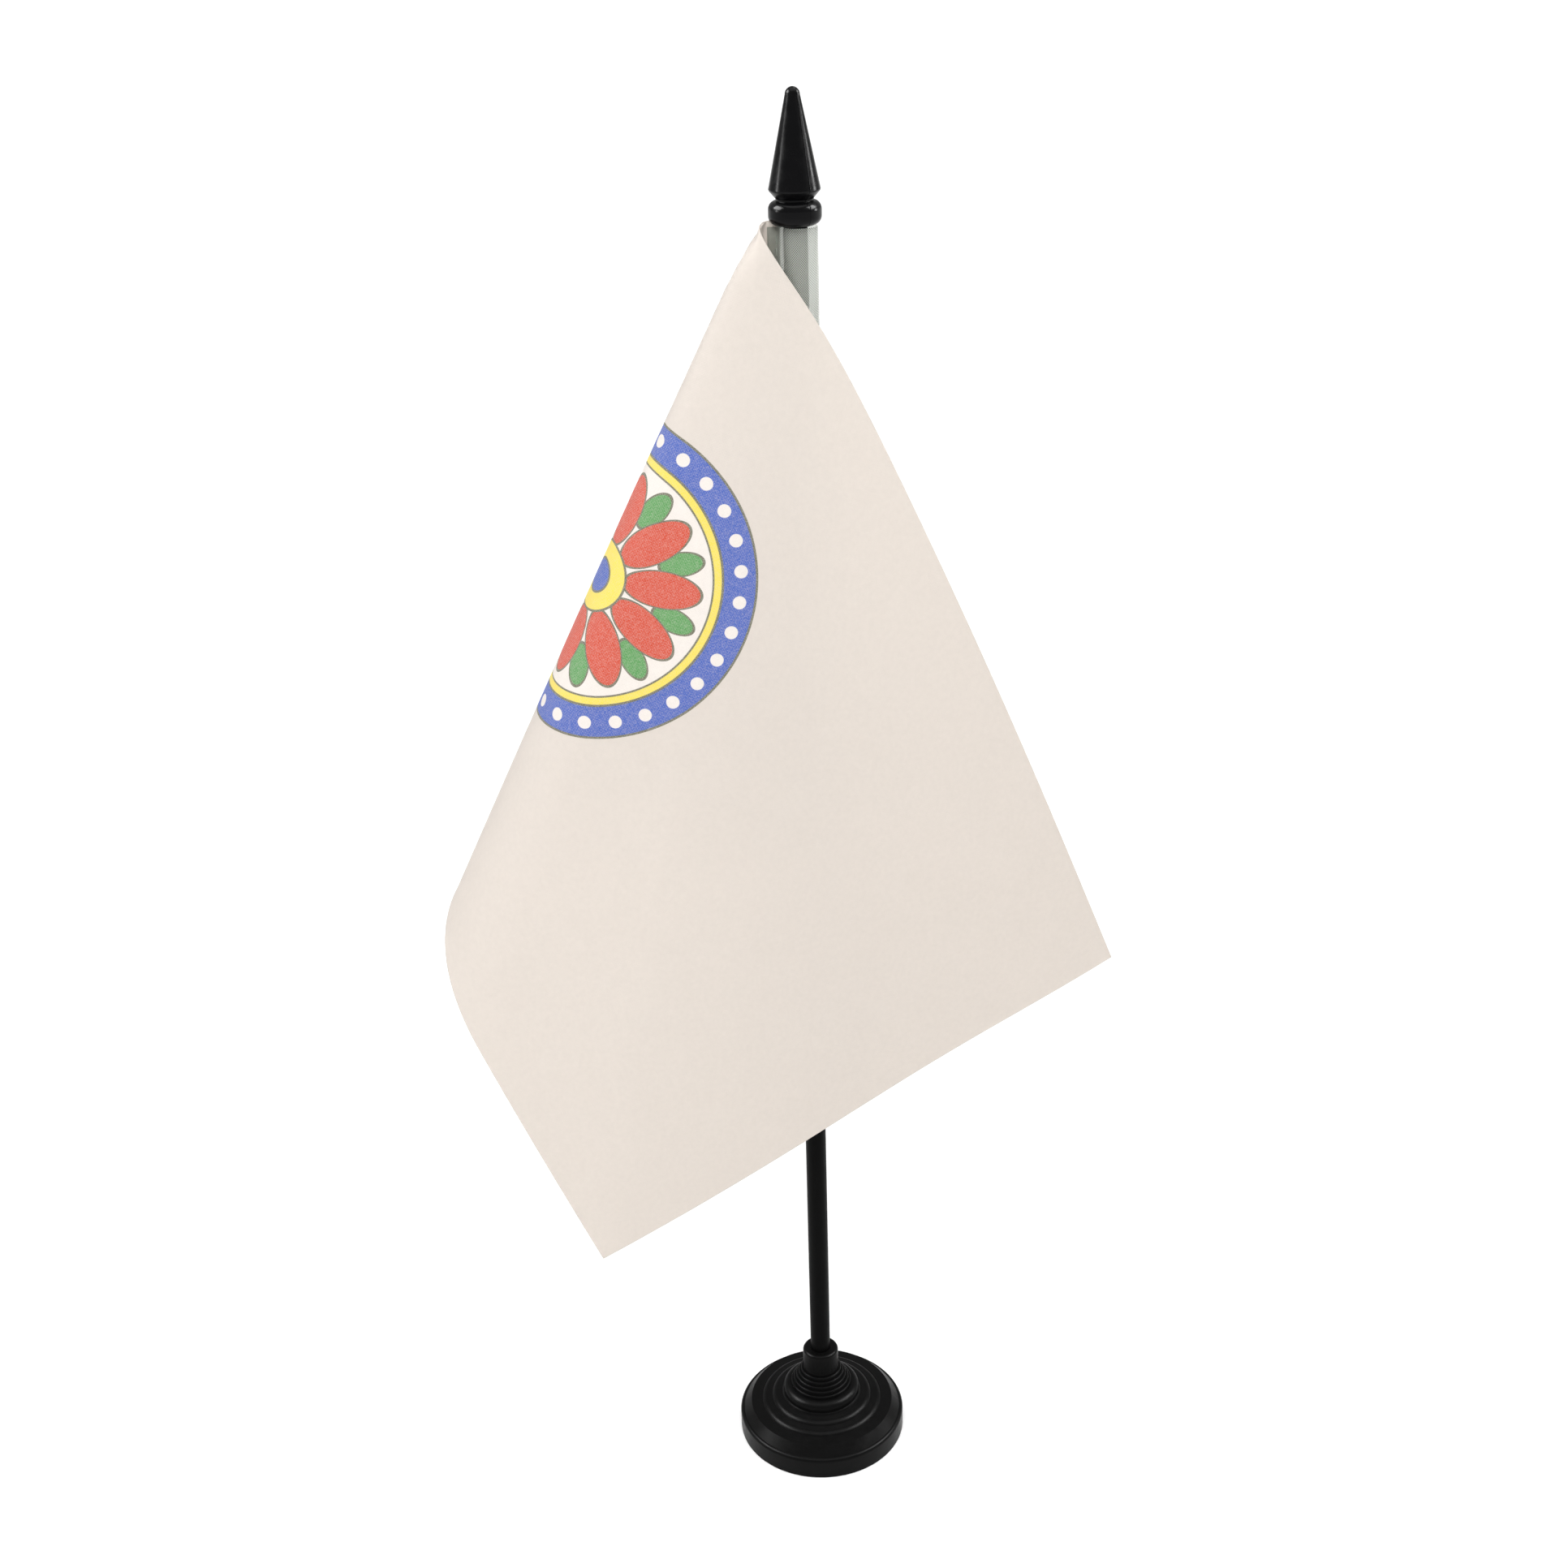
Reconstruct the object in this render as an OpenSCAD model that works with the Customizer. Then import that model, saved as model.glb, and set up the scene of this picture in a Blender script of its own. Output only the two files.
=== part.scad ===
// Desk flag on a stand: a weighted round base, a slim pole with a spear finial,
// and a small flag that hangs from a sewn sleeve in one soft fold.
// The origin is the middle of the foot, where the stand rests on the desk, and +Z is up.

/* [Overall] */
// Height of the whole stand, from the desk to the tip of the finial
stand_h = 329; // [250:1:420]

/* [Base] */
// Diameter of the base
base_d = 41.8; // [34:0.2:70]
// Height of the upright skirt, where the shoulder begins
skirt_h = 5.6; // [4.6:0.1:12]
// Rounding of the skirt's shoulder
shoulder_r = 0.9; // [0.4:0.1:1.5]
// Height from the desk to the top of the neck
neck_top = 24; // [20:0.5:40]
// Plastic round the pole in the neck
neck_wall = 2; // [1.2:0.1:4]
// Rounding of the lip at the top of the neck
lip_r = 0.8; // [0.3:0.1:1]
// Diameter of the rounded bulge that the neck grows out of
bulge_d = 19.4; // [16:0.2:24]
// Roundness of the bulge
bulge_r = 1.7; // [0.8:0.1:2]
// Width of the sloping band inside the shoulder
band_w = 2.4; // [1:0.1:4]
// Height that the sloping band climbs
band_h = 2.2; // [1:0.1:4]
// Number of low steps on the dome
tread_count = 3; // [2:1:5]
// Height that each step's tread climbs
tread_rise = 0.5; // [0.2:0.1:1]
// Height of each step's riser
riser_h = 0.6; // [0.3:0.1:1]
// Rounding of each step's edge
nose_r = 1.5; // [0.3:0.1:1.5]
// Number of small rings on the foot of the neck
ring_count = 5; // [3:1:7]
// Rounding of each small ring
ring_r = 0.25; // [0.1:0.05:0.25]

/* [Ballast] */
// Plastic between the ballast and the outside of the skirt
skirt_wall = 2.2; // [1.5:0.1:4]
// Thickness of the foot disc
pad_t = 1; // [0.5:0.1:2]
// Height that the foot disc holds the skirt off the desk
pad_proud = 0.2; // [0.1:0.1:0.5]

/* [Pole] */
// Diameter of the pole
pole_d = 4.9; // [4:0.1:7]
// Plastic under the pole at the foot of its socket
socket_floor = 2; // [1:0.5:8]
// Length of the pole that goes into the finial
finial_grip = 11; // [6:0.5:14]
// Radial clearance of the pole in the base and in the finial
fit_gap = 0.05; // [0.02:0.01:0.1]

/* [Finial] */
// Height of the finial
finial_h = 26; // [22:0.5:34]
// Largest diameter of the finial's cone
cone_d = 10.4; // [9:0.1:13]
// Roundness of the tip
tip_r = 1.5; // [0.8:0.1:2]
// Diameter of the collar under the cone
collar_d = 10.7; // [9.4:0.1:13]
// Height of the collar
collar_h = 4.8; // [4:0.1:7]
// Roundness of the collar's edges
collar_r = 1.8; // [0.5:0.1:1.9]
// Plastic round the pole in the groove between the collar and the cone
groove_wall = 1.3; // [0.6:0.1:1.5]
// Height of the slope under the cone
undercut_h = 1.8; // [1:0.1:3]

/* [Flag] */
// Width of the flag, from the sleeve to the fly
flag_w = 194; // [150:1:240]
// Height of the flag along the pole
flag_h = 140; // [110:1:180]
// Thickness of the cloth
cloth_t = 0.4; // [0.3:0.05:0.6]

/* [Sleeve] */
// Free space round the pole in the sleeve
sleeve_ease = 1.3; // [0.6:0.1:2]
// Thickness of the sleeve's cloth
sleeve_t = 0.35; // [0.25:0.05:0.5]
// Width of the flat seam beside the pole
seam_w = 1.5; // [1.2:0.1:4]
// Gap between the sleeve and the finial
top_gap = 0.3; // [0.2:0.1:3]
// Length of one stitch
stitch_l = 1.8; // [1:0.1:3]
// Distance from one stitch to the next
stitch_pitch = 2.5; // [2:0.1:5]
// Diameter of the thread
thread_d = 0.3; // [0.2:0.05:0.4]

/* [Drape] */
// Direction in which the cloth leaves the seam, from straight left towards the back
leave_angle = 65; // [40:1:75]
// Bow of the top edge out of the cone, at its middle
top_bow = 4.5; // [0:0.5:6]
// Lean of the fly edge out of the cone, at its middle
fly_bow = 8; // [0:0.5:9]
// Height of the drape's point above the sleeve's top
crown_h = 5; // [0:0.5:6]
// Free space between the front of the sleeve and the cloth that crosses it
cross_gap = 0.4; // [0.3:0.1:2]
// Width of the strip beside the seam in which the cloth eases into the drape
ease_w = 12; // [8:1:20]

/* [Hidden] */
$fn = 96;

black = [0.07, 0.07, 0.07];
cloth_white = [0.92, 0.89, 0.86];
pad_grey = [0.15, 0.15, 0.16];
sleeve_grey = [0.80, 0.83, 0.81];
eps = 0.01;
// How far a cut runs past what it cuts
over = 1;
// Gap round the ballast and the foot disc
loose = 0.1;

// Base, from the skirt inwards and upwards
base_r = base_d / 2;
band_top = skirt_h + band_h;
neck_r = pole_d / 2 + neck_wall;
socket_r = pole_d / 2 + fit_gap;
pole_foot = pad_t + socket_floor;
tread_outer = base_r - shoulder_r / 2 - band_w;
bulge_step = 0.5;
tread_inner = bulge_d / 2 + bulge_step;
tread_w = (tread_outer - tread_inner) / tread_count;
treads_top = band_top + tread_count * (tread_rise + riser_h);
bulge_h = 2;
bulge_top = treads_top + bulge_h;
// Small rings that climb from the bulge to the neck
ring_step = 0.4;
ring_outer = bulge_d / 2 - bulge_r - ring_step;
ring_w = (ring_outer - neck_r) / ring_count;
ring_h = 0.95;

// Pocket for the foot disc and the ballast, the ledge over the ballast, and the hollow above
pocket_r = base_r - skirt_wall;
pocket_top = skirt_h - shoulder_r - loose;
pad_r = pocket_r - loose;
weight_r = pad_r - loose;
weight_top = pocket_top - loose;
boss_wall = 1.6;
boss_r = socket_r + boss_wall;
ledge_w = 1.6;
roof_t = 1.6;
hollow_top = treads_top - roof_t;
hollow_top_w = 2;
hollow_h = hollow_top - pocket_top;

// Pole and finial
finial_z = stand_h - finial_h;
pole_top = finial_z + finial_grip;
groove_r = socket_r + groove_wall;
groove_h = 0.3;
cone_z = finial_z + collar_h + groove_h + undercut_h;
// Soft edge round the widest line of the cone: inwards, and from below it to above it
brim = 0.1;
brim_low = 0.3;
brim_high = 0.5;

// Sleeve and flag
sleeve_in = pole_d / 2 + sleeve_ease;
sleeve_out = sleeve_in + sleeve_t;
sleeve_top = finial_z - top_gap;
seam_x = -sleeve_out - seam_w;

// The drape is a cone of straight lines from one point. Its direction turns from
// straight down, at the seam, through these arcs: [degrees of cloth, tightness of the turn].
arcs = [[18.4, 3], [13.6, 5.1], [12, 9], [46, 0.77]];
// Degrees of cloth over which the bow of the top edge fades
bow_fade = 25;
point_inset = 0.3;
drape_point = [seam_x - point_inset, -sleeve_out - cross_gap, sleeve_top + crown_h];
corner_angle = atan2(flag_h, flag_w);
// Lines and rings of the sheet, which stand closer near the point
back_lines = 18;
front_lines = 10;
cross_rings = 6;
first_share = 0.02;
ring_spread = 1.6;
thread_sides = 16;

// A vector turned about an axis
function turned(v, axis, angle) =
    let (k = axis / norm(axis))
    v * cos(angle) + cross(k, v) * sin(angle) + k * (k * v) * (1 - cos(angle));

// Direction and heading after the arcs from number i on, for a length of cloth in degrees
function along(direction, heading, length, i = 0) =
    let (
        turn = cross(direction, heading) - arcs[i][1] * direction,
        part = i == len(arcs) - 1 ? length : min(length, arcs[i][0]),
        d = turned(direction, turn, part * norm(turn)),
        h = turned(heading, turn, part * norm(turn))
    )
    length > part ? along(d, h, length - part, i + 1) : [d, h];

function line_at(angle) =
    along([0, 0, -1], [-cos(leave_angle), sin(leave_angle), 0], 90 - angle);

// Distance from the drape's point to the cloth's edge along a line at this angle of the flat flag
function reach(angle) =
    angle > corner_angle ? flag_h / sin(angle) : flag_w / cos(angle);

// A point of the cloth's middle surface, with its normal
function cloth_point(angle, share) =
    let (
        line = line_at(angle),
        normal = cross(line[0], line[1]),
        length = reach(angle) * share,
        across = length * cos(angle),
        down = length * sin(angle),
        lean = fly_bow * share * share * sin(180 * min(angle / corner_angle, 1)),
        bow = top_bow * sin(180 * share) * exp(-angle / bow_fade),
        free = drape_point + length * line[0] + (bow - lean) * normal,
        easing = pow(max(1 - across / ease_w, 0), 2),
        seam = [seam_x, 0, sleeve_top - down],
        hung = drape_point - [0, 0, down]
    )
    [free + easing * (seam - hung), normal];

line_angles = concat(
    [for (i = [0 : back_lines]) 90 + (corner_angle - 90) * i / back_lines],
    [for (i = [1 : front_lines]) corner_angle * (1 - i / front_lines)]
);

// Base

// Height of the foot of step number i
function tread_low(i) = band_top + i * tread_rise + (i - 1) * riser_h;

module base_outline() {
    step_outline = concat(
        [[0, pad_proud], [base_r, pad_proud], [base_r, skirt_h - shoulder_r]],
        [[base_r - shoulder_r, skirt_h], [tread_outer, band_top]],
        [for (i = [1 : tread_count], top = [0, 1])
            [tread_outer - i * tread_w - nose_r, tread_low(i) + top * riser_h]],
        [[0, treads_top]]
    );
    polygon(step_outline);
    for (i = [1 : tread_count])
        translate([tread_outer - i * tread_w - nose_r, tread_low(i) + riser_h - nose_r]) circle(nose_r);
    translate([base_r - shoulder_r, skirt_h - shoulder_r]) circle(shoulder_r);
    // Bulge, rings and neck
    translate([0, treads_top - riser_h]) square([bulge_d / 2 - bulge_r, bulge_h + riser_h]);
    translate([0, treads_top - riser_h]) square([bulge_d / 2, max(bulge_h - bulge_r, eps) + riser_h]);
    translate([bulge_d / 2 - bulge_r, bulge_top - bulge_r]) circle(bulge_r);
    for (i = [0 : ring_count - 1])
        let (r = ring_outer - i * ring_w, rounding = min(ring_r, ring_w / 2)) {
            translate([0, bulge_top - eps]) square([r, (i + 1) * ring_h - rounding + eps]);
            translate([0, bulge_top - eps]) square([r - rounding, (i + 1) * ring_h + eps]);
            translate([r - rounding, bulge_top + (i + 1) * ring_h - rounding]) circle(rounding);
        }
    translate([0, bulge_top]) square([neck_r, neck_top - lip_r - bulge_top]);
    translate([0, bulge_top]) square([neck_r - lip_r, neck_top - bulge_top]);
    translate([neck_r - lip_r, neck_top - lip_r]) circle(lip_r);
}

module base_shell() {
    color(black)
    difference() {
        rotate_extrude() intersection() {
            base_outline();
            square([base_r, neck_top]);
        }
        // The pole's socket, closed at its foot
        translate([0, 0, pole_foot]) cylinder(r = socket_r, h = neck_top - pole_foot + over);
        // Pocket for the ballast and the foot disc, round the socket's boss
        difference() {
            translate([0, 0, -over]) cylinder(r = pocket_r, h = pocket_top + over);
            cylinder(r = boss_r, h = pocket_top + over);
        }
        translate([0, 0, -over]) cylinder(r = pocket_r, h = pad_t + over);
        // Hollow above the ballast, inside the ledge
        difference() {
            translate([0, 0, pocket_top - eps])
                cylinder(h = hollow_h + eps, r1 = pocket_r - ledge_w, r2 = boss_r + hollow_top_w);
            cylinder(r = boss_r, h = neck_top);
        }
    }
}

module base_weight() {
    color("slategray")
    translate([0, 0, pad_t])
        difference() {
            cylinder(r = weight_r, h = weight_top - pad_t);
            translate([0, 0, -over]) cylinder(r = boss_r + loose, h = weight_top + 2 * over);
        }
}

module base_pad() {
    color(pad_grey)
    cylinder(r = pad_r, h = pad_t);
}

// Pole and finial

module pole() {
    color(black)
    translate([0, 0, pole_foot]) cylinder(d = pole_d, h = pole_top - pole_foot);
}

module finial_outline() {
    // Collar with round edges
    translate([0, finial_z]) square([collar_d / 2 - collar_r, collar_h]);
    translate([0, finial_z + collar_r]) square([collar_d / 2, collar_h - 2 * collar_r]);
    for (z = [collar_r, collar_h - collar_r])
        translate([collar_d / 2 - collar_r, finial_z + z]) circle(collar_r);
    // Groove, cone and round tip
    translate([0, finial_z]) square([groove_r, collar_h + groove_h + eps]);
    polygon([
        [0, cone_z - undercut_h], [groove_r, cone_z - undercut_h], [cone_d / 2 - brim, cone_z - brim_low],
        [cone_d / 2, cone_z], [cone_d / 2 - brim, cone_z + brim_high],
        [tip_r, stand_h - tip_r], [0, stand_h - tip_r]
    ]);
    translate([0, stand_h - tip_r]) circle(tip_r);
}

module finial() {
    color(black)
    difference() {
        rotate_extrude() intersection() {
            finial_outline();
            square([collar_d + cone_d, stand_h]);
        }
        // The pole's socket, a little deeper than the pole goes
        translate([0, 0, finial_z - over]) cylinder(r = socket_r, h = finial_grip + over + 2 * fit_gap);
    }
}

// Flag

module flag_sheet() {
    lines = len(line_angles);
    middle = [for (a = line_angles, k = [0 : cross_rings])
        cloth_point(a, first_share + (1 - first_share) * pow(k / cross_rings, ring_spread))];
    side = len(middle);
    points = concat(
        [for (p = middle) p[0] + p[1] * cloth_t / 2],
        [for (p = middle) p[0] - p[1] * cloth_t / 2]
    );
    row = cross_rings + 1;
    front = [for (i = [0 : lines - 2], k = [0 : cross_rings - 1], half = [0, 1])
        let (a = i * row + k)
        half == 0 ? [a, a + 1, a + row + 1] : [a, a + row + 1, a + row]];
    back = [for (f = front) [f[0] + side, f[2] + side, f[1] + side]];
    // The four edges of the sheet, each as two triangles a stretch
    rim = concat(
        [for (i = [0 : lines - 2]) [i * row + cross_rings, (i + 1) * row + cross_rings]],
        [for (i = [lines - 1 : -1 : 1]) [i * row, (i - 1) * row]],
        [for (k = [cross_rings : -1 : 1]) [(lines - 1) * row + k, (lines - 1) * row + k - 1]],
        [for (k = [0 : cross_rings - 1]) [k, k + 1]]
    );
    edges = [for (e = rim, half = [0, 1])
        half == 0 ? [e[1], e[0], e[0] + side] : [e[1], e[0] + side, e[1] + side]];
    color(cloth_white)
    polyhedron(points, concat(front, back, edges));
}

module sleeve() {
    color(sleeve_grey)
    translate([0, 0, sleeve_top - flag_h])
        difference() {
            union() {
                cylinder(r = sleeve_out, h = flag_h);
                translate([seam_x, -sleeve_t, 0]) cube([seam_w + sleeve_t, 2 * sleeve_t, flag_h]);
            }
            translate([0, 0, -over]) cylinder(r = sleeve_in, h = flag_h + 2 * over);
        }
}

module seam_thread() {
    stitches = floor((flag_h - stitch_pitch) / stitch_pitch);
    color("whitesmoke")
    translate([seam_x + seam_w / 2, -sleeve_t - thread_d / 2, sleeve_top - stitch_l / 2])
        for (i = [1 : stitches])
            translate([0, 0, -i * stitch_pitch]) cylinder(d = thread_d, h = stitch_l, $fn = thread_sides);
}

base_shell();
base_weight();
base_pad();
pole();
finial();
flag_sheet();
sleeve();
seam_thread();
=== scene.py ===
import math

import bmesh
import bpy
import numpy as np
from mathutils import Euler, Matrix, Vector


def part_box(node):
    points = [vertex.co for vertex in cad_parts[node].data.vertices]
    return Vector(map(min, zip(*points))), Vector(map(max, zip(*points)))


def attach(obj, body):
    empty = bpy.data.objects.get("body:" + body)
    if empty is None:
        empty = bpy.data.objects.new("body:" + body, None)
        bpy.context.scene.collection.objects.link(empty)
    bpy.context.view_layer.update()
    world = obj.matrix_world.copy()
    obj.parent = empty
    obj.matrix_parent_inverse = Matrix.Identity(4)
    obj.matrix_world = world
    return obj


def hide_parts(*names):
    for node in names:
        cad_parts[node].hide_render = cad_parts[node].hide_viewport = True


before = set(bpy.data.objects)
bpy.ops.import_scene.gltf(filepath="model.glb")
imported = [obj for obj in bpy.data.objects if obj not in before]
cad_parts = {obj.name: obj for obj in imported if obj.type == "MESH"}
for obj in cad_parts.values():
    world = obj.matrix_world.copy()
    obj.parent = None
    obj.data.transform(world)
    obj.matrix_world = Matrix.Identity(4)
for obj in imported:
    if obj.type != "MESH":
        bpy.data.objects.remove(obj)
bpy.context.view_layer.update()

MM = 0.001


# Camera ---------------------------------------------------------------------------------

camera_place = Vector((-5.3, -406, 365)) * MM
camera_pitch = math.radians(24.3)
camera_roll = math.radians(1.6)

camera_data = bpy.data.cameras.new("camera")
camera_data.sensor_width = 36
camera_data.lens = 45.9
camera_data.clip_start = 0.01
camera_data.clip_end = 100
camera = bpy.data.objects.new("camera", camera_data)
look = Euler((math.pi / 2 - camera_pitch, 0, 0)).to_matrix().to_4x4()
camera.matrix_world = Matrix.Translation(camera_place) @ look @ Matrix.Rotation(-camera_roll, 4, "Z")
bpy.context.scene.collection.objects.link(camera)
bpy.context.scene.camera = camera
bpy.context.scene.view_settings.view_transform = "Standard"


# Helpers for meshes ---------------------------------------------------------------------

def mesh_object(name, points, faces, smooth=True):
    mesh = bpy.data.meshes.new(name)
    mesh.from_pydata([tuple(p) for p in points], [], [tuple(f) for f in faces])
    mesh.validate()
    mesh.polygons.foreach_set("use_smooth", [smooth] * len(mesh.polygons))
    piece = bpy.data.objects.new(name, mesh)
    bpy.context.scene.collection.objects.link(piece)
    return piece


def face_outwards(piece):
    work = bmesh.new()
    work.from_mesh(piece.data)
    bmesh.ops.recalc_face_normals(work, faces=work.faces)
    work.to_mesh(piece.data)
    work.free()


def strip_quads(rows, columns, start=0, closed=False):
    """Quads between rows of points that were listed one row after the other."""
    across = columns if closed else columns - 1
    return [
        (
            start + i * columns + j,
            start + i * columns + (j + 1) % columns,
            start + (i + 1) * columns + (j + 1) % columns,
            start + (i + 1) * columns + j,
        )
        for i in range(rows - 1)
        for j in range(across)
    ]


thread_end = 0.45


def tube(centres, radius, sides, sideways):
    """Points and faces of a round thread along these centres, closed at both ends."""
    points, rings = [], len(centres)
    for i, centre in enumerate(centres):
        ahead = centres[min(i + 1, rings - 1)] - centres[max(i - 1, 0)]
        across = ahead.normalized().cross(sideways).normalized()
        end = radius * (thread_end if i in (0, rings - 1) else 1)
        for k in range(sides):
            turn = 2 * math.pi * k / sides
            points.append(centre + end * (math.cos(turn) * across + math.sin(turn) * sideways))
    faces = strip_quads(rings, sides, closed=True)
    faces += [tuple(range(sides)), tuple((rings - 1) * sides + k for k in reversed(range(sides)))]
    return points, faces


# The flag's drape: a cone of straight lines from one point, as in the CAD model ---------

sleeve_low, sleeve_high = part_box("sleeve")
seam_x = sleeve_low.x / MM
sleeve_out = sleeve_high.x / MM
sleeve_top = sleeve_high.z / MM
flag_h = (sleeve_high.z - sleeve_low.z) / MM
flag_w = 194
cloth_t = 0.2

# Lengths are in millimetres and angles in degrees, with the CAD model's values.
leave_angle = 65
top_bow = 4.5
fly_bow = 8
bow_fade = 25
ease_w = 12
point_inset = 0.3
cross_gap = 0.4
crown_h = 5
# Each stretch of the cone: its angle on the flat flag, and how tightly it curls
arcs = [(18.4, 3), (13.6, 5.1), (12, 9), (46, 0.77)]
drape_point = np.array([seam_x - point_inset, -sleeve_out - cross_gap, sleeve_top + crown_h])
corner_angle = math.degrees(math.atan2(flag_h, flag_w))


def turned(vector, axis, angle):
    """A vector turned about an axis, for an array of angles in radians."""
    k = axis / np.linalg.norm(axis)
    c, s = np.cos(angle)[..., None], np.sin(angle)[..., None]
    return vector * c + np.cross(k, vector) * s + k * (k @ vector) * (1 - c)


def lines_at(angles):
    """Direction and heading of the cone's lines at these angles of the flat flag, in degrees."""
    leave = math.radians(leave_angle)
    direction = np.array([0.0, 0.0, -1.0])
    heading = np.array([-math.cos(leave), math.sin(leave), 0.0])
    directions = np.zeros(angles.shape + (3,))
    headings = np.zeros(angles.shape + (3,))
    start = 0
    for i, (length, tightness) in enumerate(arcs):
        axis = np.cross(direction, heading) - tightness * direction
        speed = np.linalg.norm(axis)
        reached = np.maximum(90 - angles - start, 0)
        part = reached >= 0 if i == 0 else 90 - angles > start
        angle = np.radians(reached) * speed
        directions[part] = turned(direction, axis, angle)[part]
        headings[part] = turned(heading, axis, angle)[part]
        whole = np.array(math.radians(length) * speed)
        direction, heading = turned(direction, axis, whole), turned(heading, axis, whole)
        start += length
    return directions, headings


def drape(u, v):
    """Where the flat flag's points hang: u from the seam to the fly, v down from the top."""
    angle = np.degrees(np.arctan2(v, u + 1e-9))
    length = np.hypot(u, v)
    direction, heading = lines_at(angle)
    normal = np.cross(direction, heading)
    reach = np.where(
        angle > corner_angle,
        flag_h / np.maximum(np.sin(np.radians(angle)), 1e-6),
        flag_w / np.maximum(np.cos(np.radians(angle)), 1e-6),
    )
    share = length / reach
    lean = fly_bow * share**2 * np.sin(np.pi * np.minimum(angle / corner_angle, 1))
    bow = top_bow * np.sin(np.pi * share) * np.exp(-angle / bow_fade)
    free = drape_point + length[..., None] * direction + (bow - lean)[..., None] * normal
    easing = np.maximum(1 - u / ease_w, 0) ** 2
    seam = np.stack([np.full(u.shape, seam_x), np.zeros(u.shape), sleeve_top - v], -1)
    hung = drape_point - np.stack([np.zeros(u.shape), np.zeros(u.shape), v], -1)
    return free + easing[..., None] * (seam - hung)


# Finer shape of the cloth than the CAD sheet has
corner_sink = 3.6
corner_reach = 8
corner_lift = 1.2
corner_lift_reach = 8
corner_spread = 30
ripple = 0.22
ripple_reach = 90
# Each set of ripples: its height, and how it runs with the angle and the length, from where
ripples = [(1, 9, 0, 20), (0.6, 17, 1.1, 0)]


def soft_drape(u, v):
    """The drape with its top corner rolled softly against the sleeve, and with slight ripples."""
    angle = np.degrees(np.arctan2(v, u + 1e-9))
    length = np.hypot(u, v)
    place = drape(u, v)
    roll = corner_sink * (length / corner_reach) * np.exp(1 - length / corner_reach)
    roll = roll * np.exp(-((angle / corner_spread) ** 2))
    place[..., 0] -= roll
    place[..., 2] += corner_lift * np.exp(-((length / corner_lift_reach) ** 2))
    wave = sum(
        height * np.sin(np.radians(angle * turning + length * along + start))
        for height, turning, along, start in ripples
    )
    place[..., 1] += ripple * wave * np.minimum(length / ripple_reach, 1) ** 2
    return place


def spaced(size, pitch, edges):
    """Places along one side of the cloth: even ones, and closer ones for the beads at its ends."""
    inner = np.linspace(edges[-1], size - edges[-1], max(int(size / pitch), 4))
    return np.concatenate([edges[:-1], inner, size - np.array(edges[:-1])[::-1]])


# The melted edge of the cloth is a thin bead, and its hoist is tucked into the sleeve's seam
bead_w = 0.5
bead_t = 0.09
bead_rows = [0, 0.25, 0.5, 0.8, 1.3]
cloth_pitch = 1.5
tuck = 2.1


def add_maps(flag, u, v):
    """Where each point is on the flat flag, and its own place in a sheet for baking."""
    flat = np.stack([u.ravel(), v.ravel()], -1)
    on_back = np.repeat([0, 1], len(flat))
    flat = np.concatenate([flat, flat])
    share_u = (flat[:, 0] + tuck) / (flag_w + 2 * tuck)
    share_v = flat[:, 1] / flag_h
    baked = np.stack([0.01 + 0.98 * share_u, 0.01 + 0.48 * share_v + 0.5 * on_back], -1)
    corner = np.zeros(len(flag.data.loops), int)
    flag.data.loops.foreach_get("vertex_index", corner)
    for name, values in (("OFBake", baked), ("Flat", flat)):
        layer = flag.data.uv_layers.new(name=name)
        layer.data.foreach_set("uv", values[corner].astype(np.float32).ravel())


def make_flag():
    """The flag as a thin closed solid: two layers of the draped grid, joined round the edge."""
    us = np.concatenate([[-tuck, -tuck / 2], spaced(flag_w, cloth_pitch, bead_rows)])
    vs = spaced(flag_h, cloth_pitch, bead_rows)
    u, v = np.meshgrid(us, vs)
    middle = soft_drape(np.maximum(u, 0), v)
    middle[..., 0] -= np.minimum(u, 0)
    along_u = np.gradient(middle, axis=1)
    along_v = np.gradient(middle, axis=0)
    normal = np.cross(along_v, along_u)
    normal /= np.maximum(np.linalg.norm(normal, axis=-1, keepdims=True), 1e-9)
    to_edge = np.minimum(np.minimum(flag_w - u, v), flag_h - v)
    half = cloth_t / 2 + bead_t * np.exp(-((to_edge / bead_w) ** 2)) * (u > ease_w)
    print_side = middle + normal * half[..., None]
    other_side = middle - normal * half[..., None]
    rows, columns = u.shape
    side = rows * columns
    quads = strip_quads(rows, columns)
    faces = quads + [tuple(side + k for k in reversed(q)) for q in quads]
    ring = list(range(columns))
    ring += [i * columns + columns - 1 for i in range(1, rows)]
    ring += [(rows - 1) * columns + j for j in reversed(range(columns - 1))]
    ring += [i * columns for i in reversed(range(1, rows - 1))]
    faces += [(b, a, a + side, b + side) for a, b in zip(ring, ring[1:] + ring[:1])]
    points = np.concatenate([print_side.reshape(-1, 3), other_side.reshape(-1, 3)]) * MM
    flag = mesh_object("flag_cloth", points, faces)
    face_outwards(flag)
    add_maps(flag, u, v)
    return flag


# Sleeve: one strip of cloth round the pole, with both its edges sewn in a flat seam ------

sleeve_cloth_t = 0.24
layer_gap = 0.22
flange_w = 0.5
neck_w = 0.2
neck_open = 0.12
wrap_angle = 162
wrap_steps = 40
# The tube of cloth hangs to the right of the pole, which lies against its left side
sleeve_tube_r = 3.55
sleeve_shift = 0.8


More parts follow.
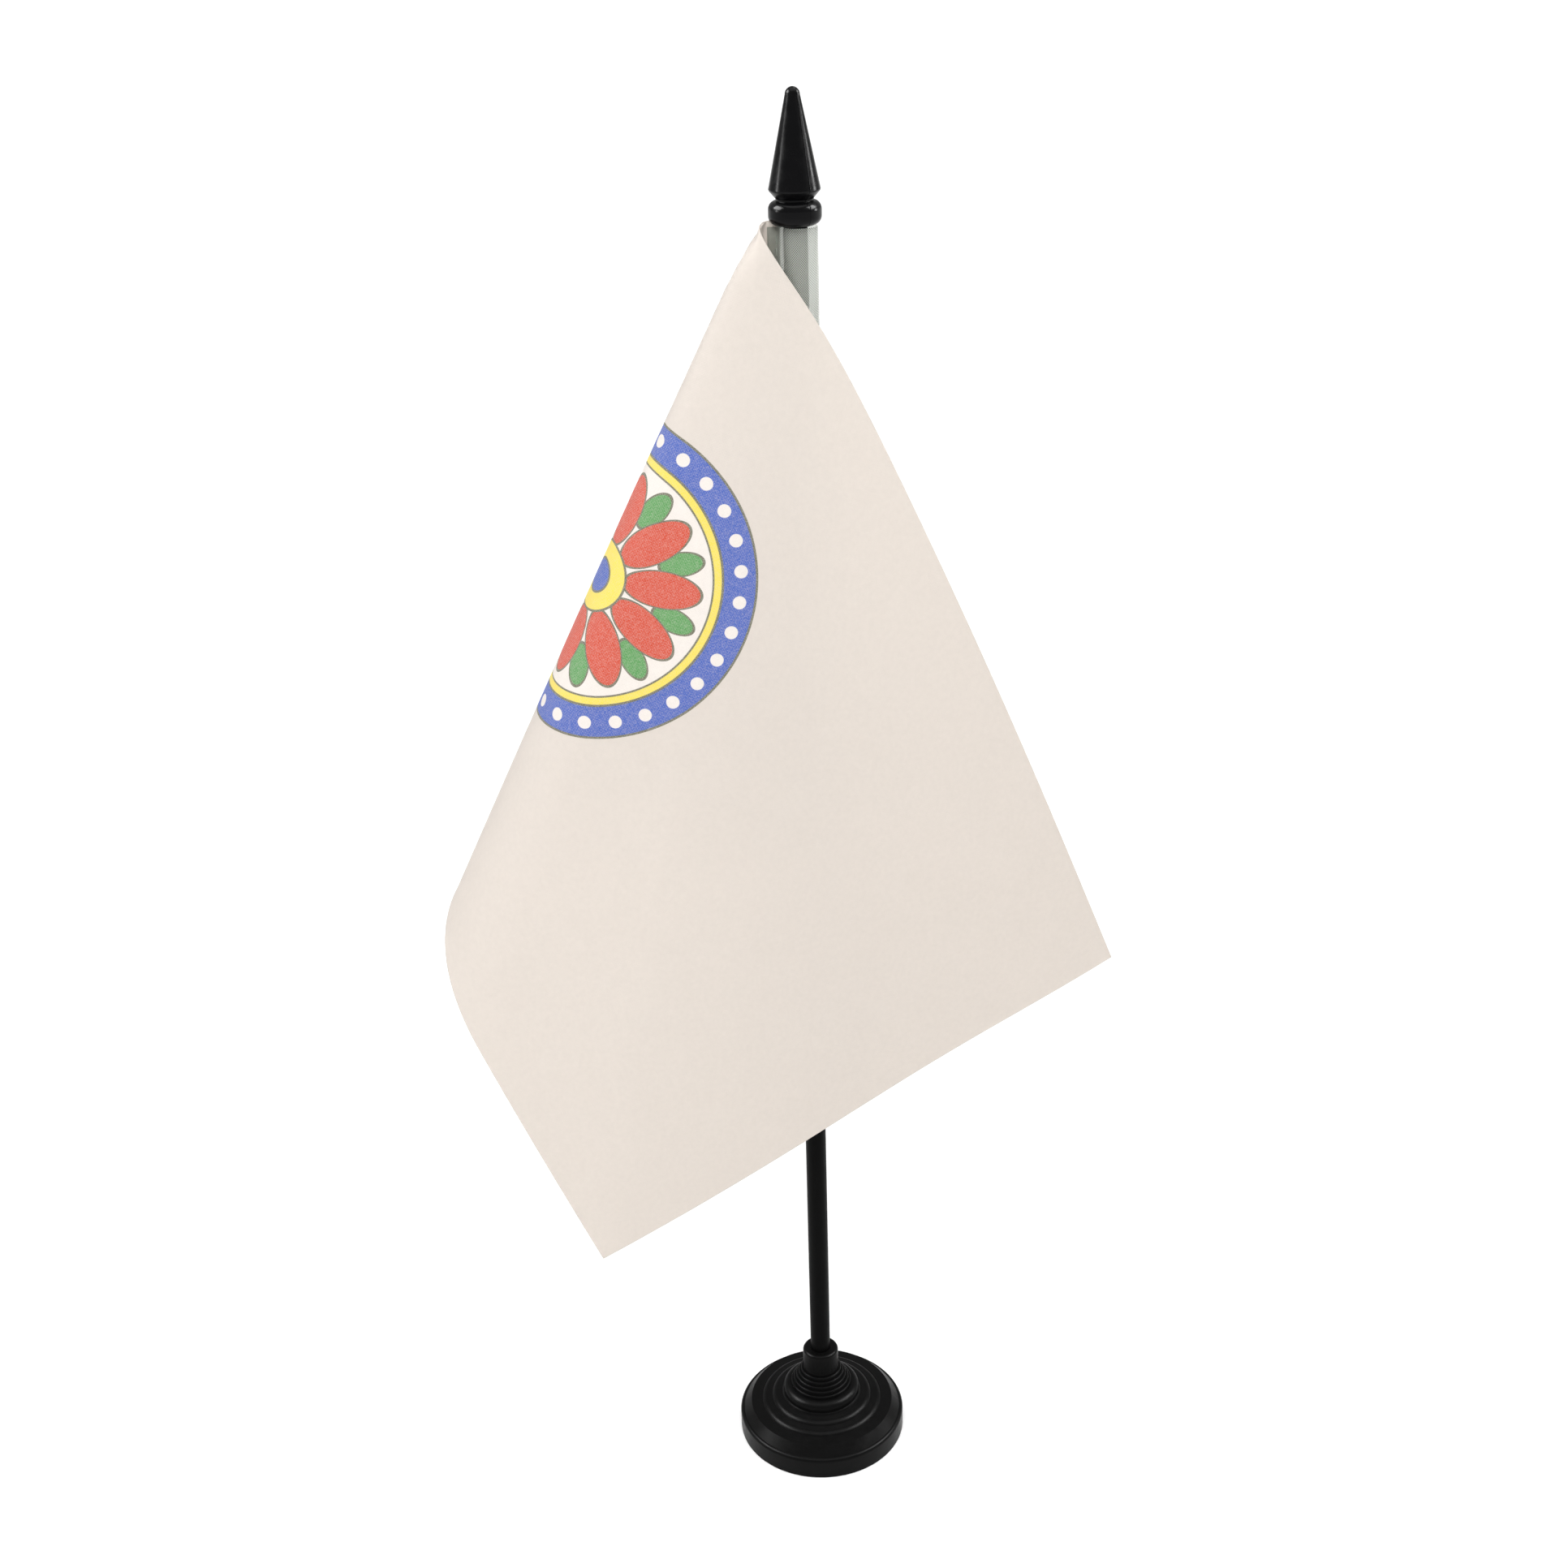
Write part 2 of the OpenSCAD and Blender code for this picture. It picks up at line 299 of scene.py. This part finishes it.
def sleeve_path(level):
    """Middle line of the strip at one height, from the seam's front layer round to its back one."""
    radius, centre_x = sleeve_tube_r, sleeve_shift
    neck = (centre_x - radius - neck_w, -layer_gap - neck_open)
    start = [(seam_x, -layer_gap), (seam_x + flange_w, -layer_gap), neck]
    around = []
    for k in range(wrap_steps + 1):
        turn = math.radians(-wrap_angle + 2 * wrap_angle * k / wrap_steps)
        dent = 0.07 * math.sin(2 * turn + 0.05 * level) + 0.05 * math.sin(3 * turn - 0.11 * level + 1)
        around.append((centre_x + (radius + dent) * math.cos(turn), (radius + dent) * math.sin(turn)))
    return np.array(start + around + [(x, -y) for x, y in reversed(start)])


def make_sleeve():
    """The strip as a thin closed solid, from its top edge to its lower one."""
    levels = np.linspace(0, flag_h, 57)
    outer, inner = [], []
    for level in levels:
        path = sleeve_path(level)
        ahead = np.gradient(path, axis=0)
        ahead /= np.linalg.norm(ahead, axis=1, keepdims=True)
        out = np.stack([ahead[:, 1], -ahead[:, 0]], -1) * sleeve_cloth_t / 2
        z = np.full((len(path), 1), sleeve_top - level)
        outer.append(np.hstack([path + out, z]))
        inner.append(np.hstack([path - out, z]))
    loops = np.array([np.concatenate([o, i[::-1]]) for o, i in zip(outer, inner)])
    rows, columns = loops.shape[:2]
    faces = strip_quads(rows, columns, closed=True)
    half = columns // 2
    for row, order in ((0, 1), (rows - 1, -1)):
        for j in range(half - 1):
            a, b = row * columns + j, row * columns + columns - 1 - j
            faces.append((a, a + 1, b - 1, b)[::order])
    sleeve = mesh_object("sleeve_cloth", loops.reshape(-1, 3) * MM, faces)
    face_outwards(sleeve)
    return sleeve


# Stitches: short loops of thread through the flat seam ----------------------------------

stitch_inset = 1.8
stitch_pitch = 2.5 * MM
stitch_length = 1.9 * MM
stitch_r = 0.16 * MM
stitch_rise = 0.22 * MM
stitch_sink = 0.1 * MM
stitch_lean = 0.12 * MM


def make_stitches():
    low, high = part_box("seam_thread")
    row_x = (seam_x + stitch_inset) * MM
    face = (layer_gap + sleeve_cloth_t / 2) * MM
    count = int((high.z - low.z) / stitch_pitch) + 1
    points, faces = [], []
    for i in range(count):
        top = high.z - i * stitch_pitch
        lean = stitch_lean * math.sin(i * 2.3)
        for side in (-1, 1):
            centres = []
            for k in range(9):
                share = k / 8
                rise = math.sin(math.pi * share) ** 0.5 * stitch_rise
                x = row_x + lean * (share - 0.5) * 2
                centres.append(Vector((x, side * (face - stitch_sink + rise), top - stitch_length * share)))
            more, new_faces = tube(centres, stitch_r, 8, Vector((1, 0, 0)))
            faces += [tuple(len(points) + k for k in f) for f in new_faces]
            points += more
    stitches = mesh_object("seam_stitches", points, faces)
    face_outwards(stitches)
    return stitches


# Parting line of the finial's mould -----------------------------------------------------

line_w = 0.22 * MM
line_h = 0.1 * MM
line_sink = 0.04 * MM
line_turn = -54
socket_clear_r = 3 * MM
tip_zone_h = 8 * MM


def make_parting_line():
    """Thin raised line that follows the finial's outline on two opposite sides."""
    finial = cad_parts["finial"]
    rings = {}
    for vertex in finial.data.vertices:
        height = round(vertex.co.z, 5)
        rings[height] = max(rings.get(height, 0), math.hypot(vertex.co.x, vertex.co.y))
    tip_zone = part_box("finial")[1].z - tip_zone_h
    outline = [(r, z) for z, r in sorted(rings.items()) if r > socket_clear_r or z > tip_zone]
    points, faces = [], []
    for turn in (math.radians(line_turn), math.radians(line_turn + 180)):
        out = Vector((math.cos(turn), math.sin(turn), 0))
        across = Vector((-math.sin(turn), math.cos(turn), 0))
        start = len(points)
        for r, z in outline:
            foot = out * (r - line_sink) + Vector((0, 0, z))
            points += [foot - across * line_w, foot + out * (line_h + line_sink), foot + across * line_w]
        faces += strip_quads(len(outline), 3, start, closed=True)
        last = start + 3 * (len(outline) - 1)
        faces += [(start, start + 1, start + 2), (last + 2, last + 1, last)]
    line = mesh_object("finial_parting_line", points, faces)
    face_outwards(line)
    return line


# Materials ------------------------------------------------------------------------------

def srgb(red, green, blue):
    """A colour given as 0 to 255 on a screen, as the shader's linear values."""
    def linear(c):
        c /= 255
        return c / 12.92 if c <= 0.04045 else ((c + 0.055) / 1.055) ** 2.4
    return (linear(red), linear(green), linear(blue), 1)


def new_material(name):
    material = bpy.data.materials.new(name)
    material.use_nodes = True
    tree = material.node_tree
    return material, tree, tree.nodes["Principled BSDF"]


def node(tree, kind, inputs=None, **settings):
    made = tree.nodes.new(kind)
    for key, value in settings.items():
        setattr(made, key, value)
    for key, value in (inputs or {}).items():
        if isinstance(value, bpy.types.NodeSocket):
            tree.links.new(value, made.inputs[key])
        else:
            made.inputs[key].default_value = value
    return made


def noise(tree, place, scale, detail=3, roughness=0.5):
    return node(tree, "ShaderNodeTexNoise",
                {"Vector": place, "Scale": scale, "Detail": detail, "Roughness": roughness}).outputs["Fac"]


def spread(tree, value, low, high, old=(0, 1)):
    """A value from one range to another."""
    return node(tree, "ShaderNodeMapRange",
                {"Value": value, "From Min": old[0], "From Max": old[1], "To Min": low, "To Max": high}
                ).outputs["Result"]


def blend_colours(tree, amount, first, second):
    made = node(tree, "ShaderNodeMix", data_type="RGBA")
    for socket, value in ((made.inputs[0], amount), (made.inputs[6], first), (made.inputs[7], second)):
        if isinstance(value, bpy.types.NodeSocket):
            tree.links.new(value, socket)
        else:
            socket.default_value = value
    return made.outputs[2]


def bump(tree, height, distance, strength=1.0, before=None):
    made = node(tree, "ShaderNodeBump", {"Height": height, "Distance": distance, "Strength": strength})
    if before is not None:
        tree.links.new(before, made.inputs["Normal"])
    return made.outputs["Normal"]


def object_place(tree):
    return node(tree, "ShaderNodeTexCoord").outputs["Object"]


def plastic(name, dark, light, rough, gloss, grain, mottling=0.5):
    """Moulded black plastic: slightly mottled, with a fine grain and faint scuffs."""
    material, tree, shader = new_material(name)
    place = object_place(tree)
    cloud = noise(tree, place, 160, 4)
    fine = noise(tree, place, 2600, 2)
    scuffs = noise(tree, place, 520, 5, 0.7)
    tree.links.new(blend_colours(tree, cloud, dark, light), shader.inputs["Base Color"])
    scuffed = spread(tree, scuffs, rough - 0.05, rough + 0.09, (0.35, 0.7))
    tree.links.new(scuffed, shader.inputs["Roughness"])
    shader.inputs["Specular IOR Level"].default_value = gloss
    low = bump(tree, cloud, 0.05 * MM, mottling)
    tree.links.new(bump(tree, fine, grain, 1, low), shader.inputs["Normal"])
    return material


class Field:
    """A number that varies over a surface, as a socket that plain arithmetic works on."""

    def __init__(self, tree, socket):
        self.tree, self.socket = tree, socket

    def math(self, operation, *others, clamp=False):
        made = self.tree.nodes.new("ShaderNodeMath")
        made.operation, made.use_clamp = operation, clamp
        for i, value in enumerate((self,) + others):
            if isinstance(value, Field):
                self.tree.links.new(value.socket, made.inputs[i])
            else:
                made.inputs[i].default_value = value
        return Field(self.tree, made.outputs[0])

    def __add__(self, other):
        return self.math("ADD", other)

    def __sub__(self, other):
        return self.math("SUBTRACT", other)

    def __mul__(self, other):
        return self.math("MULTIPLY", other)

    def __truediv__(self, other):
        return self.math("DIVIDE", other)

    def squared(self):
        return self * self

    def root(self):
        return self.math("SQRT")

    def inside(self, soft=0.12):
        """1 where this distance is below 0, and 0 where it is above, with a soft edge."""
        return self.math("MULTIPLY_ADD", -1 / soft, 0.5, clamp=True)


def distance(x, y):
    return (x.squared() + y.squared()).root()


def disc(x, y, radius):
    return distance(x, y) - radius


def repeated(value, step):
    """The same stretch again and again: from minus half a step to half a step."""
    return (value / step + 0.5).math("FRACT") * step - step / 2


class Print:
    """Layers of ink on the cloth: each is painted over those before it."""

    def __init__(self, tree, ground):
        self.tree, self.colour = tree, ground

    def ink(self, mask, colour):
        self.colour = blend_colours(self.tree, mask.socket, self.colour, colour)

    def outlined(self, shape, fill, line, width):
        """A shape with a dark line round it."""
        self.ink(shape.inside(), line)
        self.ink((shape + width).inside(), fill)


RED = srgb(212, 80, 56)
GREEN = srgb(92, 160, 90)
YELLOW = srgb(243, 222, 90)
BLUE = srgb(72, 102, 188)
LINE = srgb(112, 112, 92)
PAPER = srgb(238, 232, 226)

# The printed ornament's place on the flat flag, and its circles from the outside in
emblem_u = 50
emblem_v = 66
ring_r = 35
dot_row_r = 31.5
dot_count = 30
dot_r = 1.4
rim_r = 28
ground_r = 26
petal_count = 10
heart_r = 8


def petals(p, reach, angle, count, middle, half_length, slimness, fill):
    """A ring of oval petals, evenly spaced round the middle of the ornament."""
    near = repeated(angle, 2 * math.pi / count)
    across, out = reach * near.math("SINE"), reach * near.math("COSINE") - middle
    p.outlined(distance(across * slimness, out) - half_length, fill, LINE, 0.6)


def emblem(tree, ground):
    """Colour of the printed flag: a plain flower of red and green petals in a blue ring with dots."""
    flat_place = node(tree, "ShaderNodeUVMap", uv_map="Flat").outputs[0]
    flat = node(tree, "ShaderNodeSeparateXYZ", {"Vector": flat_place})
    x = Field(tree, flat.outputs["X"]) - emblem_u
    y = Field(tree, flat.outputs["Y"]) - emblem_v
    p = Print(tree, ground)
    reach = distance(x, y)
    angle = x.math("ARCTAN2", y)
    p.outlined(reach - ring_r, BLUE, LINE, 0.5)
    dot = disc(repeated(angle, 2 * math.pi / dot_count) * dot_row_r, reach - dot_row_r, dot_r)
    p.ink(dot.inside(), PAPER)
    p.outlined(reach - rim_r, YELLOW, LINE, 0.5)
    p.outlined(reach - ground_r, PAPER, LINE, 0.4)
    between = math.pi / petal_count
    petals(p, reach, angle + between, petal_count, 19.5, 5, 1.9, GREEN)
    petals(p, reach, angle, petal_count, 15.5, 8.5, 2.1, RED)
    p.outlined(reach - heart_r, YELLOW, LINE, 0.5)
    p.outlined(reach - heart_r / 2, BLUE, LINE, 0.5)
    return p.colour


warp_pitch = 0.44
weft_pitch = 0.5
seam_tube_side = -2.9 * MM
seam_flange_side = -3.3 * MM


def shaded(colour, share):
    return tuple(c * share for c in colour[:3]) + (1,)


def cloth(name, tint, through_share, open_share, printed=False):
    """Fine woven polyester, a little see-through, with or without the print."""
    material, tree, shader = new_material(name)
    place = object_place(tree)
    if printed:
        weave_place, second_axis, per_mm = node(tree, "ShaderNodeUVMap", uv_map="Flat").outputs[0], "Y", 1
    else:
        weave_place, second_axis, per_mm = place, "Z", 1 / MM
    split = node(tree, "ShaderNodeSeparateXYZ", {"Vector": weave_place})
    first = Field(tree, split.outputs["X"]) * (per_mm * 2 * math.pi / warp_pitch)
    second = Field(tree, split.outputs[second_axis]) * (per_mm * 2 * math.pi / weft_pitch)
    weave = (first.math("SINE") * second.math("SINE") + 1) * 0.5
    cloud = noise(tree, place, 45, 3)
    slubs = noise(tree, place, 900, 3, 0.6)
    ground = blend_colours(tree, cloud, tint, shaded(tint, 0.985))
    shade = (weave - 0.5) * 0.05 + (Field(tree, slubs) - 0.5) * 0.09 + 1
    opening = (weave * 1.2 + 0.4) * open_share
    if printed:
        # The ink is thin where the weave stands out, so some of the cloth shows through it
        grain = Field(tree, noise(tree, place, 3200, 2, 0.6)) - 0.5
        bare = ((weave - 0.62) * 1.3).math("MAXIMUM", 0) + grain * 0.7 + (Field(tree, slubs) - 0.5) * 0.12
        colour = blend_colours(tree, (bare + 0.06).math("MAXIMUM", 0).socket, emblem(tree, ground), ground)
    else:
        # The seam is two layers pressed together: denser than the tube, so less shows through it. Its
        # colour is also darkened there as painted shade.
        seam_zone = (seam_flange_side, seam_tube_side)
        open_and_unshaded = Field(tree, spread(tree, split.outputs["X"], 0.25, 1, seam_zone))
        colour = blend_colours(tree, open_and_unshaded.socket, shaded(tint, 0.6), ground)
        opening = opening * open_and_unshaded
    lit = node(tree, "ShaderNodeVectorMath", operation="SCALE")
    tree.links.new(colour, lit.inputs[0])
    tree.links.new(shade.socket, lit.inputs["Scale"])
    tree.links.new(lit.outputs[0], shader.inputs["Base Color"])
    tree.links.new(spread(tree, slubs, 0.72, 0.9), shader.inputs["Roughness"])
    shader.inputs["Specular IOR Level"].default_value = 0.25
    shader.inputs["Sheen Weight"].default_value = 0.06
    threads = bump(tree, weave.socket, 0.03 * MM, 0.5)
    uneven = bump(tree, slubs, 0.05 * MM, 0.5, threads)
    tree.links.new(uneven, shader.inputs["Normal"])
    through = node(tree, "ShaderNodeBsdfTranslucent", {"Normal": uneven})
    tree.links.new(lit.outputs[0], through.inputs["Color"])
    mixed = node(tree, "ShaderNodeMixShader")
    mixed.inputs[0].default_value = through_share
    tree.links.new(shader.outputs[0], mixed.inputs[1])
    tree.links.new(through.outputs[0], mixed.inputs[2])
    # Gaps between the threads, which let a little of what is behind show
    gaps = node(tree, "ShaderNodeBsdfTransparent")
    holes = node(tree, "ShaderNodeMixShader")
    tree.links.new(opening.socket, holes.inputs[0])
    tree.links.new(mixed.outputs[0], holes.inputs[1])
    tree.links.new(gaps.outputs[0], holes.inputs[2])
    tree.links.new(holes.outputs[0], tree.nodes["Material Output"].inputs["Surface"])
    return material


def thread_material():
    material, tree, shader = new_material("thread")
    place = object_place(tree)
    twist = node(tree, "ShaderNodeTexWave", {"Vector": place, "Scale": 1500, "Distortion": 1.5})
    # The thread's colours are darker than the pale thread itself, as painted shade for the shadows round
    # the loops; the wave gives its twist.
    colour = blend_colours(tree, twist.outputs["Fac"], srgb(92, 98, 90), srgb(168, 174, 164))
    tree.links.new(colour, shader.inputs["Base Color"])
    shader.inputs["Roughness"].default_value = 0.7
    tree.links.new(bump(tree, twist.outputs["Fac"], 0.04 * MM), shader.inputs["Normal"])
    return material


def steel_material():
    """Turned steel, with rings from the lathe and a little rust bloom."""
    material, tree, shader = new_material("ballast_steel")
    place = object_place(tree)
    rings = node(tree, "ShaderNodeTexWave", {"Vector": place, "Scale": 400, "Distortion": 0.6},
                 wave_type="RINGS", rings_direction="Z")
    blotch = noise(tree, place, 90, 5, 0.65)
    stain = spread(tree, blotch, 0, 1, (0.5, 0.75))
    colour = blend_colours(tree, stain, srgb(150, 152, 156), srgb(122, 104, 92))
    tree.links.new(colour, shader.inputs["Base Color"])
    shader.inputs["Metallic"].default_value = 0.9
    tree.links.new(spread(tree, blotch, 0.3, 0.6), shader.inputs["Roughness"])
    tree.links.new(bump(tree, rings.outputs["Fac"], 0.03 * MM, 0.6), shader.inputs["Normal"])
    return material


def foam_material():
    """Dense dark foam of the foot disc, with fine pores."""
    material, tree, shader = new_material("foot_pad")
    place = object_place(tree)
    pores = node(tree, "ShaderNodeTexVoronoi", {"Vector": place, "Scale": 1400})
    cloud = noise(tree, place, 220, 4)
    colour = blend_colours(tree, cloud, srgb(34, 34, 36), srgb(52, 52, 55))
    tree.links.new(colour, shader.inputs["Base Color"])
    tree.links.new(spread(tree, cloud, 0.8, 0.95), shader.inputs["Roughness"])
    tree.links.new(bump(tree, pores.outputs["Distance"], 0.15 * MM, 0.7), shader.inputs["Normal"])
    return material


def dress(node_name, material):
    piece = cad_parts[node_name]
    piece.data.materials.clear()
    piece.data.materials.append(material)
    return piece


# Build ----------------------------------------------------------------------------------

base_plastic = plastic("base_plastic", srgb(8, 8, 8), srgb(11, 11, 11), 0.34, 0.05, 0.003 * MM, 0.3)
pole_plastic = plastic("pole_plastic", srgb(7, 7, 7), srgb(9, 9, 9), 0.4, 0.03, 0.004 * MM)
finial_plastic = plastic("finial_plastic", srgb(6, 6, 7), srgb(9, 9, 10), 0.2, 0.09, 0.001 * MM, 0.1)

dress("base_shell", base_plastic)
dress("base_weight", steel_material())
dress("base_pad", foam_material())
dress("pole", pole_plastic)
dress("finial", finial_plastic)

flag = make_flag()
flag.data.materials.append(cloth("flag_cloth", srgb(221, 213, 205), 0.25, 0.03, printed=True))
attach(flag, "flag")
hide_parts("flag_sheet")

sleeve = make_sleeve()
sleeve.data.materials.append(cloth("sleeve_cloth", srgb(245, 248, 241), 0.8, 0.55))
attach(sleeve, "flag")
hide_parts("sleeve")

stitches = make_stitches()
stitches.data.materials.append(thread_material())
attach(stitches, "flag")
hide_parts("seam_thread")

parting_line = make_parting_line()
parting_line.data.materials.append(finial_plastic)
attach(parting_line, "finial")


# Floor and lights -----------------------------------------------------------------------

WHITE = (1, 1, 1, 1)


def make_floor():
    half = 30
    corners = [(-half, -half, 0), (half, -half, 0), (half, half, 0), (-half, half, 0)]
    floor = mesh_object("floor", corners, [(0, 1, 2, 3)])
    material, tree, shader = new_material("floor")
    place = object_place(tree)
    colour = blend_colours(tree, noise(tree, place, 3, 2), srgb(250, 250, 250), srgb(246, 246, 246))
    tree.links.new(colour, shader.inputs["Base Color"])
    shader.inputs["Roughness"].default_value = 0.9
    shader.inputs["Specular IOR Level"].default_value = 0.1
    shader.inputs["Emission Color"].default_value = WHITE
    shader.inputs["Emission Strength"].default_value = 0.1
    floor.data.materials.append(material)


def sun(name, towards, strength, softness):
    light = bpy.data.lights.new(name, "SUN")
    light.energy = strength
    light.angle = math.radians(softness)
    lamp = bpy.data.objects.new(name, light)
    lamp.rotation_euler = Vector(towards).to_track_quat("-Z", "Y").to_euler()
    bpy.context.scene.collection.objects.link(lamp)


def soft_box(name, place, target, size, power, use):
    """An area light that shows only as gleams on glossy pieces, or only in the shading."""
    light = bpy.data.lights.new(name, "AREA")
    light.shape = "RECTANGLE"
    light.size, light.size_y = size
    light.energy = power
    lamp = bpy.data.objects.new(name, light)
    lamp.location = place
    lamp.rotation_euler = (Vector(target) - Vector(place)).to_track_quat("-Z", "Y").to_euler()
    lamp.visible_camera = False
    lamp.visible_glossy = use == "gloss"
    lamp.visible_diffuse = lamp.visible_transmission = use == "shade"
    bpy.context.scene.collection.objects.link(lamp)


make_floor()
middle = Vector((0, 0, 0.17))
sun("sky", (0, 0.1, -1), 1.9, 60)
soft_box("left_gleam", (-0.8, -0.07, 0.39), middle, (0.1, 0.14), 1.5, "gloss")
soft_box("right_gleam", (0.8, 0.15, 0.37), middle, (0.16, 0.14), 2, "gloss")
soft_box("high_left_gleam", (-0.68, 0.02, 0.72), middle, (0.5, 0.4), 18, "gloss")
soft_box("high_right_gleam", (0.68, 0.02, 0.72), middle, (0.5, 0.4), 18, "gloss")
soft_box("front_box", (-0.1, -0.5, 0.85), Vector((0, 0, 0.25)), (0.5, 0.4), 4.5, "shade")

world = bpy.data.worlds.new("world")
bpy.context.scene.world = world
world.use_nodes = True
background = world.node_tree.nodes["Background"]
background.inputs["Color"].default_value = WHITE
background.inputs["Strength"].default_value = 0.5
